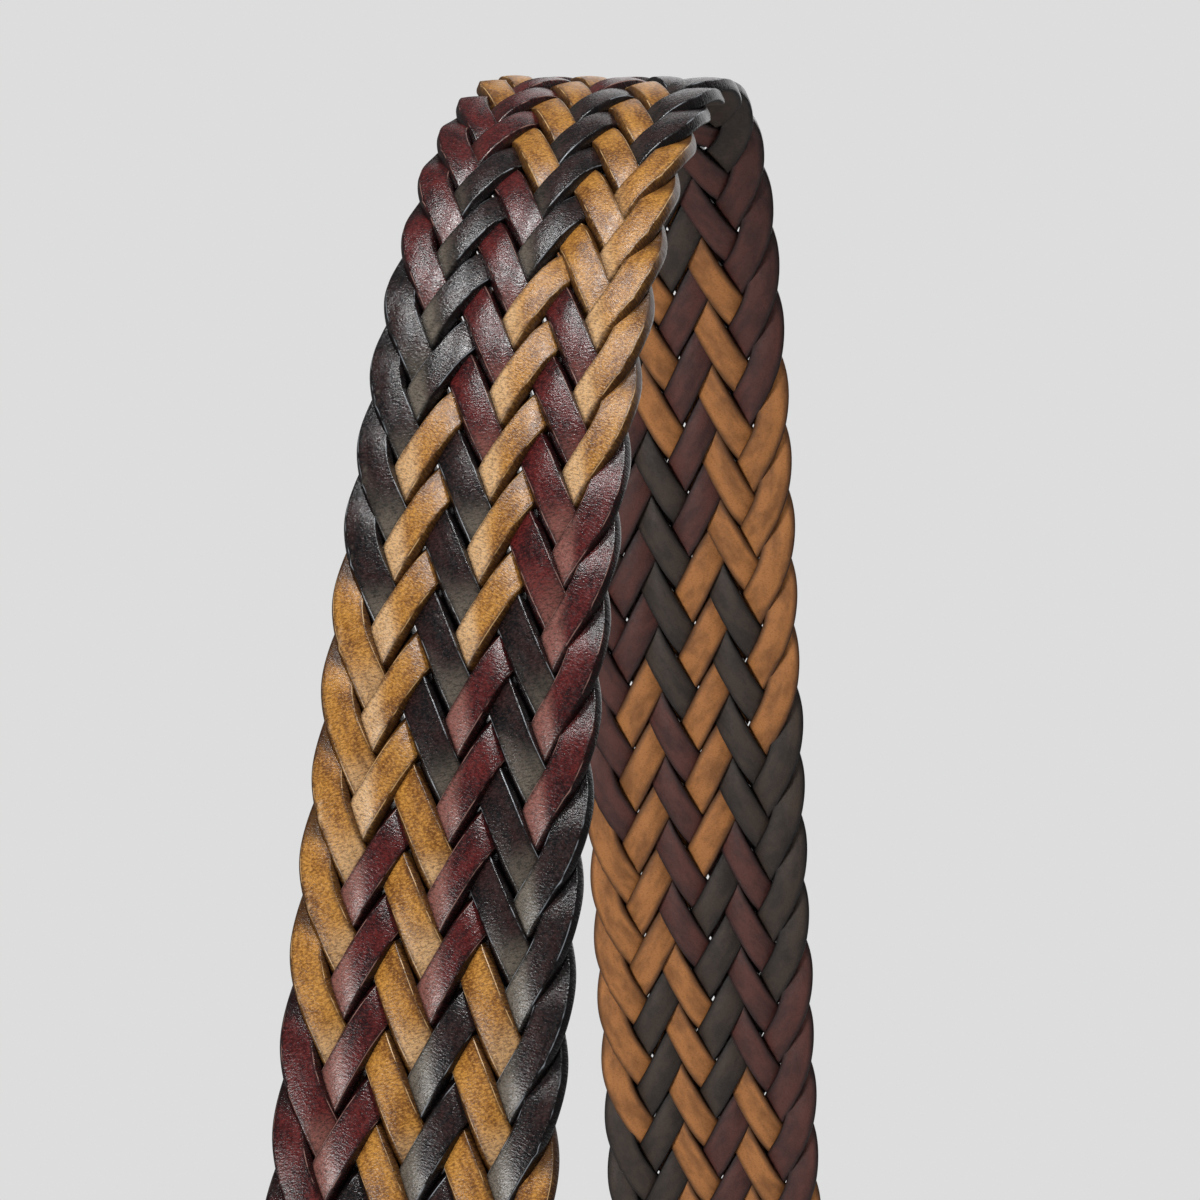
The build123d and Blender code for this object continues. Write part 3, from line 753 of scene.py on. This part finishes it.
def make_buckle_tab():
    """One leather strip folded round the heel bar, with a slot for the prong."""
    middle_radius = TAB_GAP / 2 + TAB_LEATHER / 2
    fold = pi * middle_radius
    total = 2 * BUCKLE_TAB_LENGTH + fold

    def lay(s):
        """Local z and y, and the outer side's direction in y and z."""
        turn = np.clip(s - BUCKLE_TAB_LENGTH, 0, fold) / middle_radius
        past = np.maximum(s - BUCKLE_TAB_LENGTH - fold, 0)
        z = np.minimum(s - BUCKLE_TAB_LENGTH, 0) + middle_radius * np.sin(turn) - past
        return z, middle_radius * np.cos(turn), np.cos(turn), np.sin(turn)

    def half_width(s):
        shoulder = TAB_HALF_WIDTH - FOLD_HALF_WIDTH
        share = smooth_step(lay(s)[0], -FOLD_SHOULDER - shoulder, -FOLD_SHOULDER)
        return TAB_HALF_WIDTH - shoulder * share

    def distance(x, s):
        return np.minimum(half_width(s) - np.abs(x), np.minimum(s, total - s))

    def place(x, s, h):
        z, y, out_y, out_z = lay(s)
        out = h + padding(x, z, -BUCKLE_TAB_LENGTH + BRAID_IN_TAB) * np.abs(out_y) * (h > 0)
        return at_buckle(x, y + out * out_y, z + out * out_z)

    places = eased(0.0, total, BUCKLE_TAB_STEP)
    obj = leather_slab("buckle_tab_look", places, half_width, distance, place)
    cut_prong_slot(obj)
    finish_piece(obj, "strap", "buckle_tab", LOOKS["tab"])


def cut_prong_slot(tab):
    """Cuts the rounded slot through both layers and the fold."""
    turns = np.linspace(0, pi, SLOT_ARC_STEPS)
    top = -SLOT_LENGTH + SLOT_HALF_WIDTH
    outline = [(SLOT_HALF_WIDTH * cos(a), top - SLOT_HALF_WIDTH * sin(a)) for a in turns]
    outline += [(-SLOT_HALF_WIDTH, CUTTER_REACH), (SLOT_HALF_WIDTH, CUTTER_REACH)]
    ends = (-CUTTER_REACH, CUTTER_REACH)
    points = [at_buckle(x, y, z) for y in ends for x, z in outline]
    count = len(outline)
    faces = [[i, (i + 1) % count, (i + 1) % count + count, i + count] for i in range(count)]
    faces += [list(range(count))[::-1], list(range(count, 2 * count))]
    cutter = new_piece("slot_cutter", points, faces)
    weld(cutter.data)
    cut = tab.modifiers.new("slot", "BOOLEAN")
    cut.object = cutter
    cut.solver = "EXACT"
    bpy.context.view_layer.objects.active = tab
    bpy.ops.object.modifier_apply(modifier=cut.name)
    bpy.data.objects.remove(cutter)
    tab.data.set_sharp_from_angle(angle=SLOT_CORNERS)


def flank_circle():
    """Centre (x, z) and radius of the arc that shapes the tip's right-hand flank."""
    a = np.array([TAB_HALF_WIDTH, -TIP_POINT])
    b = np.array([TAB_HALF_WIDTH * FLANK[0], -TIP_POINT * (1 - FLANK[1])])
    c = np.zeros(2)
    centre = np.linalg.solve(2 * np.array([b - a, c - a]), [b @ b - a @ a, c @ c - a @ a])
    return centre[0], centre[1], float(np.hypot(*centre))


def tip_half_width(z, inset=0.0):
    """Half the tip's width, less an inset all round."""
    centre_x, centre_z, radius = flank_circle()
    bow = np.sqrt(np.maximum((radius - inset) ** 2 - (z - centre_z) ** 2, 0))
    flank = np.maximum(centre_x + bow, 0)
    straight = TAB_HALF_WIDTH - inset
    return np.where(z > -TIP_POINT, np.minimum(flank, straight), straight)


def tip_half_gap(z):
    """Half the distance between the tip's two layers."""
    share = np.maximum((z - TIP_BEND) / -TIP_BEND, 0)
    return TAB_GAP / 2 + (TIP_GAP / 2 - TAB_GAP / 2) * share


def make_tip_layer(name, side):
    """Front (side 1) or back (side -1) leather of the tip."""
    centre_x, centre_z, radius = flank_circle()

    def distance(x, z):
        flank = radius - np.hypot(np.abs(x) - centre_x, z - centre_z)
        straight = TAB_HALF_WIDTH - np.abs(x)
        sides = np.where(z > centre_z, np.minimum(flank, straight), straight)
        return np.minimum(sides, z + TIP_TAB_LENGTH)

    def place(x, z, h):
        middle = tip_half_gap(z) + TAB_LEATHER / 2
        out = h + padding(x, z, -TIP_TAB_LENGTH + BRAID_IN_TAB) * (h > 0)
        return at_tip(x, side * (middle + out), z)

    places = eased(-TIP_TAB_LENGTH, 0.0, TIP_STEP)
    obj = leather_slab(f"{name}_look", places, tip_half_width, distance, place)
    finish_piece(obj, "strap", name, LOOKS["tab"])


# ---- Stitching ----


def even_places(line, step):
    """Middles and directions of stitches spaced evenly along a line of (x, z) points."""
    line = np.asarray(line, float)
    runs = np.concatenate([[0], np.cumsum(np.hypot(*np.diff(line, axis=0).T))])
    count = int(runs[-1] / step)
    spots = []
    for middle in (np.arange(count) + 0.5) * runs[-1] / count:
        ends = [[np.interp(middle + d, runs, line[:, i]) for i in (0, 1)] for d in (-0.5, 0.5)]
        direction = np.subtract(ends[1], ends[0])
        spots.append((np.mean(ends, 0), direction / np.hypot(*direction)))
    return spots


def stitch_points(spot, direction, face, side, place):
    """Rings of one stitch: a plump thread that arches out of one hole and into the next."""
    steps = np.linspace(-1, 1, STITCH_RINGS)[:, None]
    turns = np.linspace(0, 2 * pi, STITCH_SIDES, endpoint=False)
    plies = 1 + PLIES["depth"] * np.sin(PLIES["count"] * turns + PLIES["twist"] * steps)
    thick = STITCH_RADIUS * np.sqrt(1 - (STITCH_TAPER * steps) ** 4) * plies
    run = steps * STITCH_LENGTH / 2
    lateral = thick * np.cos(turns) + STITCH_SLANT * run
    rise = STITCH_RISE - STITCH_SINK * steps**4 + STITCH_FLATNESS * thick * np.sin(turns)
    x = spot[0] + run * direction[0] - lateral * direction[1]
    z = spot[1] + run * direction[1] + lateral * direction[0]
    return place(x, side * (face(z) + rise), z)


def make_stitching(name, lines, face, place):
    """All stitches of one end, along lines of (x, z) points, on both faces."""
    points, faces = [], []
    for side in (1, -1):
        for line in lines:
            for spot, direction in even_places(line, STITCH_PITCH):
                stitch = stitch_points(spot, direction, face, side, place)
                faces += tube_faces(*stitch.shape[:2], len(points))
                points += stitch.reshape(-1, 3).tolist()
    obj = new_piece(f"{name}_look", points, faces)
    weld(obj.data)
    finish_piece(obj, "strap", name, LOOKS["thread"])


def make_buckle_stitching():
    """Stitches along the tab's mouth and sides, with a gap at the fixed keeper."""
    edge = TAB_HALF_WIDTH - STITCH_MARGIN
    low = -BUCKLE_TAB_LENGTH + STITCH_MARGIN
    high = -FOLD_SHOULDER - STITCH_CORNER
    reach = KEEPER_HALF_HEIGHT + KEEPER_STITCH_GAP
    keeper = -FIXED_KEEPER["at"]
    mouth = edge - STITCH_CORNER
    lines = [[(-mouth, low), (mouth, low)]]
    for x in (edge, -edge):
        lines += [[(x, low), (x, keeper - reach)], [(x, keeper + reach), (x, high)]]

    def face(z):
        return TAB_GAP / 2 + TAB_LEATHER + 0 * z

    make_stitching("buckle_tab_stitching", lines, face, at_buckle)


def make_tip_stitching():
    """Stitches along the tip's mouth and round its pointed sides."""
    edge = TAB_HALF_WIDTH - STITCH_MARGIN
    low = -TIP_TAB_LENGTH + STITCH_MARGIN
    mouth = edge - STITCH_CORNER
    z = np.linspace(low, 0, TIP_SAMPLES)
    x = tip_half_width(z, STITCH_MARGIN)
    short_of_point = x > STITCH_MARGIN / 3
    z, x = z[short_of_point], x[short_of_point]
    lines = [[(-mouth, low), (mouth, low)], np.stack([x, z], -1), np.stack([-x, z], -1)]

    def face(z):
        return tip_half_gap(z) + TAB_LEATHER

    make_stitching("tip_tab_stitching", lines, face, at_tip)


# ---- Keepers ----


def keeper_path(size):
    """Middle of the loop's leather in local (x, y), and the outward direction there."""
    wall = KEEPER_LEATHER / 2
    half = TAB_HALF_WIDTH + size["side_gap"] + wall
    face = TAB_GAP / 2 + TAB_LEATHER
    back, front = -face - size["back_gap"] - wall, face + KEEPER_STRAP_ROOM + wall
    radius = KEEPER_CORNER - wall
    path, normals = [], []
    corners = [(half, front, 0), (-half, front, 90), (-half, back, 180), (half, back, 270)]
    for x, y, begin in corners:
        centre = np.array([x - np.sign(x) * radius, y - np.sign(y) * radius])
        for turn in np.radians(begin + np.linspace(0, 90, CORNER_STEPS)):
            normals.append((cos(turn), sin(turn)))
            path.append(centre + radius * np.array(normals[-1]))
    return np.array(path), np.array(normals)


def make_keeper(name, body, size):
    """Leather loop with rounded corners, crowned on the outside and creased near both edges."""
    wall = KEEPER_LEATHER / 2
    fine = EDGE_STEPS[EDGE_STEPS < 2]
    outer = eased(-KEEPER_HALF_HEIGHT, KEEPER_HALF_HEIGHT, KEEPER_STEP, fine)
    edge = KEEPER_HALF_HEIGHT - np.abs(outer)
    crown = KEEPER_CROWN * (1 - (outer / KEEPER_HALF_HEIGHT) ** 2)
    rise = wall - rounded(edge) + crown - groove(edge, CREASE)
    across = np.concatenate([outer, outer[::-1]])
    up = np.concatenate([rise, (rounded(edge) - wall)[::-1]])

    path, normals = keeper_path(size)
    x = path[:, :1] + normals[:, :1] * up
    y = path[:, 1:] + normals[:, 1:] * up
    points = at_buckle(x, y, across - size["at"])
    index = np.arange(x.size).reshape(x.shape)
    after = np.roll(index, -1, 0)
    quads = np.stack([index, np.roll(index, -1, 1), np.roll(after, -1, 1), after], -1)
    obj = new_piece(f"{name}_look", points.reshape(-1, 3), quads.reshape(-1, 4))
    add_attribute(obj, "edge", spread(KEEPER_HALF_HEIGHT - np.abs(across), x))
    weld(obj.data)
    finish_piece(obj, body, name, LOOKS["tab"])


# ---- Studio ----

CAMERA_AT = (125.0, -554.7, -23.1)
CAMERA_YAW = radians(-12.816)
CAMERA_PITCH = radians(-4.84)
CAMERA_ROLL = radians(0.79)
CAMERA_LENS = 118.9
SENSOR_WIDTH = 36
NEAREST = 0.02  # metres, as is everything below
LIT_PLACE = (0, 0, -0.1)
LIGHTS = {  # place, size, and power in watts
    "top_right": ((0.3, -0.3, 0.9), (0.14, 0.14), 6.5),
    "top_left": ((-0.18, -0.26, 0.93), (0.1, 0.1), 3.6),
    "front": ((-0.42, -0.9, -0.1), (0.4, 0.26), 5.2),
    "back": ((0.2, 1.0, 0.3), (1.0, 1.0), 3.4),
}
WORLD_LIGHT = 0.13  # strength of the background as a light, where 1 is as seen
FLOOR_RADIUS = 1.1
FLOOR_FADE = (0.55, 1.08)
FLOOR_GAP = 0.004
BACKGROUND_COLOUR = (221, 221, 221)
FLOOR_COLOUR = (226, 226, 226)


def make_camera():
    """The photo's camera, from a fit to the edge notches of both legs."""
    data = bpy.data.cameras.new("camera")
    data.lens = CAMERA_LENS
    data.sensor_width = SENSOR_WIDTH
    data.clip_start = NEAREST
    obj = bpy.data.objects.new("camera", data)
    bpy.context.scene.collection.objects.link(obj)
    turn = Matrix.Rotation(-CAMERA_YAW, 4, "Z") @ Matrix.Rotation(pi / 2 + CAMERA_PITCH, 4, "X")
    turn = turn @ Matrix.Rotation(CAMERA_ROLL, 4, "Z")
    obj.matrix_world = Matrix.Translation(Vector(CAMERA_AT) * MM) @ turn
    bpy.context.scene.camera = obj


def make_light(name, at, size, power):
    """Rectangular area light that looks at the belt's upper part."""
    data = bpy.data.lights.new(name, "AREA")
    data.shape = "RECTANGLE"
    data.size, data.size_y = size
    data.energy = power
    obj = bpy.data.objects.new(name, data)
    obj.location = at
    obj.rotation_euler = (Vector(LIT_PLACE) - Vector(at)).to_track_quat("-Z", "Y").to_euler()
    bpy.context.scene.collection.objects.link(obj)


def make_floor():
    """Pale round floor that fades into the background at its rim."""
    bpy.ops.mesh.primitive_circle_add(vertices=96, radius=FLOOR_RADIUS, fill_type="NGON")
    floor = bpy.context.object
    floor.name = "floor"
    floor.location.z = cad_box[0][2] - FLOOR_GAP
    nodes = Nodes("floor_paint")
    nodes.shader.inputs["Base Color"].default_value = colour(*FLOOR_COLOUR)
    nodes.shader.inputs["Roughness"].default_value = 0.8
    length = nodes.new("ShaderNodeVectorMath", {0: nodes.object_place()}, operation="LENGTH")
    fade = nodes.span(length.outputs["Value"], *FLOOR_FADE, 1.0, 0.0)
    nodes.set(nodes.shader.inputs["Alpha"], fade)
    floor.data.materials.append(nodes.material)


def make_world():
    """Even pale background, dimmer as a light than as seen."""
    world = bpy.data.worlds.new("studio")
    world.use_nodes = True
    tree = world.node_tree
    back = tree.nodes["Background"]
    back.inputs["Color"].default_value = colour(*BACKGROUND_COLOUR)
    path = tree.nodes.new("ShaderNodeLightPath")
    strength = tree.nodes.new("ShaderNodeMapRange")
    strength.inputs["To Min"].default_value = WORLD_LIGHT
    strength.inputs["To Max"].default_value = 1.0
    tree.links.new(path.outputs["Is Camera Ray"], strength.inputs["Value"])
    tree.links.new(strength.outputs["Result"], back.inputs["Strength"])
    bpy.context.scene.world = world


def make_studio():
    """Camera, background, floor and lights."""
    make_camera()
    make_world()
    make_floor()
    bpy.context.scene.view_settings.view_transform = "Standard"
    for name, (at, size, power) in LIGHTS.items():
        make_light(name, at, size, power)


make_studio()
make_braid()
make_buckle_tab()
make_tip_layer("tip_tab_front", 1)
make_tip_layer("tip_tab_back", -1)
make_buckle_stitching()
make_tip_stitching()
make_keeper("fixed_keeper", "strap", FIXED_KEEPER)
make_keeper("sliding_keeper", "sliding_keeper", SLIDING_KEEPER)
paint_cad_nodes()
